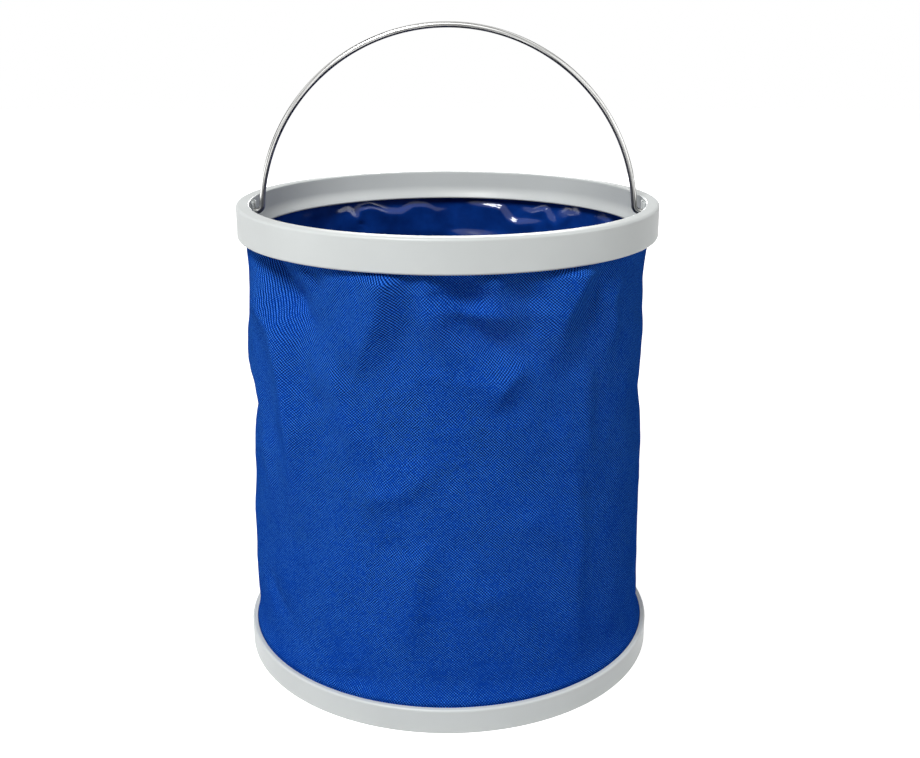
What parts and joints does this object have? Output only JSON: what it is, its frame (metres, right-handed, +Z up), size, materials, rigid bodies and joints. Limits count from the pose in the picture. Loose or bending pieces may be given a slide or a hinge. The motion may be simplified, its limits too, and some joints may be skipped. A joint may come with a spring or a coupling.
{
  "type": "collapsible camp bucket",
  "caption": "Round collapsible camp bucket: a coated cloth wall between a rigid rim ring and base ring, folding flat, with a swinging wire bail for carrying water.",
  "frame": {"origin": "centre of the base ring's standing face, on the ground", "axes": "+Z up along the bucket's axis; the bail's pivots lie on a line along X; -Y is the front, the side seam is at +Y"},
  "size_m": [0.2644, 0.2644, 0.3937],
  "materials": {
    "ring_plastic": "pale grey moulded polypropylene, satin",
    "hoop_plastic": "grey moulded polypropylene",
    "wall_cloth": "royal blue woven cloth with a coated, glossy navy inside",
    "liner": "navy coated cloth, glossy",
    "bail_steel": "bright zinc-plated wire"
  },
  "bodies": {
    "base": {"base_ring": "ring_plastic", "base_clamp_hoop": "hoop_plastic", "bottom_weld_band": "wall_cloth", "fabric_floor": "liner", "fabric_wall": "wall_cloth", "side_seam_lap": "wall_cloth"},
    "rim": {"rim_ring": "ring_plastic", "rim_clamp_hoop": "hoop_plastic", "top_hem_band": "wall_cloth"},
    "bail": {"wire_bail": "bail_steel"}
  },
  "joints": [
    {"name": "rim_slide", "type": "slide", "parent": "base", "child": "rim", "axis": [0, 0, 1], "range_m": [-0.249, 0], "deforming": ["fabric_wall", "side_seam_lap"]},
    {"name": "bail_swing", "type": "hinge", "parent": "rim", "child": "bail", "pos_m": [0, 0, 0.282], "axis": [1, 0, 0], "range_deg": [-90, 90]}
  ]
}
